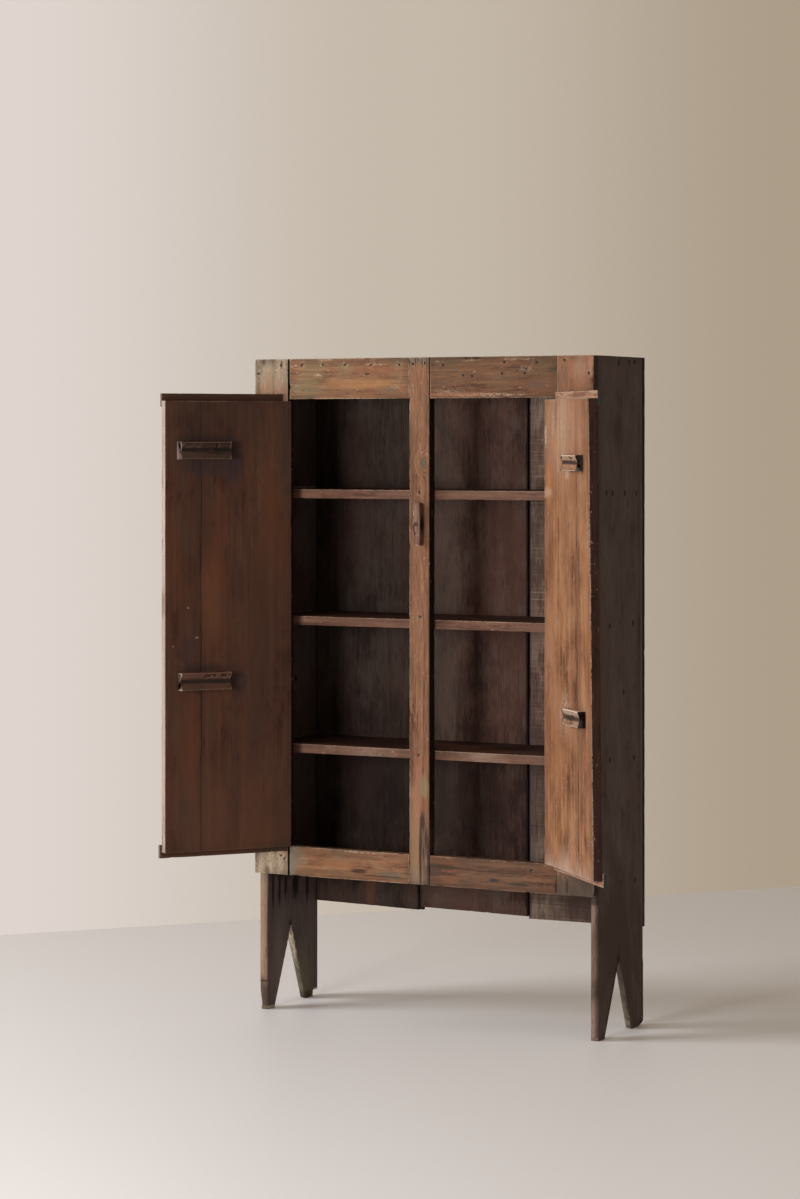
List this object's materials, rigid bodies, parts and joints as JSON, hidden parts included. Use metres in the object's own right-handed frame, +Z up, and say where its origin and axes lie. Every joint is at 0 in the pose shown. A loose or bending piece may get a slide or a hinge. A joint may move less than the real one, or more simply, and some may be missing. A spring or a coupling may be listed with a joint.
{
  "type": "trastero cabinet",
  "caption": "Tall rustic plank cupboard with a jointed face frame, plank doors, open shelves, a wooden turn button and notched board feet.",
  "frame": {"origin": "on the floor, under the middle of the bounding box of the cabinet as it stands with both doors open", "axes": "+Z up, +X to the right as seen from the front, +Y towards the back, so the doors are on the -Y side"},
  "size_m": [1.2864, 0.6459, 1.78],
  "materials": {
    "frame_wood": "hand-planed pine, old oiled surface, worn grey at the ends",
    "side_wood": "weathered grey-brown pine, matt",
    "inner_wood": "smoke-dark unfinished pine, matt",
    "left_door_wood": "dark reddish-brown stained pine, matt",
    "right_door_wood": "warm tan pine with scuffs, matt",
    "button_wood": "worn warm tan pine",
    "iron": "old wrought iron, dark rust"
  },
  "bodies": {
    "carcase": {"left_side": "side_wood", "right_side": "side_wood", "left_stile": "frame_wood", "centre_stile": "frame_wood", "right_stile": "frame_wood", "top_rail_left": "frame_wood", "top_rail_right": "frame_wood", "bottom_rail_left": "frame_wood", "bottom_rail_right": "frame_wood", "top_board": "inner_wood", "bottom_board": "inner_wood", "shelf_upper": "inner_wood", "shelf_middle": "inner_wood", "shelf_lower": "inner_wood", "back_board_left": "inner_wood", "back_board_middle": "inner_wood", "back_board_right": "inner_wood", "left_hinge_frame_leaves": "iron", "right_hinge_frame_leaves": "iron", "left_hinge_pins": "iron", "right_hinge_pins": "iron", "turn_button_nail": "iron"},
    "left_door": {"left_door_wide_plank": "left_door_wood", "left_door_narrow_plank": "left_door_wood", "left_door_top_strip": "left_door_wood", "left_door_bottom_strip": "left_door_wood", "left_door_cleat_upper": "left_door_wood", "left_door_cleat_lower": "left_door_wood", "left_hinge_door_leaves": "iron"},
    "right_door": {"right_door_wide_plank": "right_door_wood", "right_door_narrow_plank": "right_door_wood", "right_door_top_strip": "right_door_wood", "right_door_bottom_strip": "right_door_wood", "right_door_cleat_upper": "right_door_wood", "right_door_cleat_lower": "right_door_wood", "right_hinge_door_leaves": "iron"},
    "turn_button": {"turn_button": "button_wood"}
  },
  "joints": [
    {"name": "left_door_hinge", "type": "hinge", "parent": "carcase", "child": "left_door", "pos_m": [-0.42043, -0.00711, 0], "axis": [0, 0, -1], "range_deg": [-126, 52]},
    {"name": "right_door_hinge", "type": "hinge", "parent": "carcase", "child": "right_door", "pos_m": [0.38557, -0.00711, 0], "axis": [0, 0, 1], "range_deg": [-133, 45]},
    {"name": "turn_button_pivot", "type": "hinge", "parent": "carcase", "child": "turn_button", "pos_m": [-0.01443, -0.00161, 1.336], "axis": [0, -1, 0], "continuous": true}
  ]
}
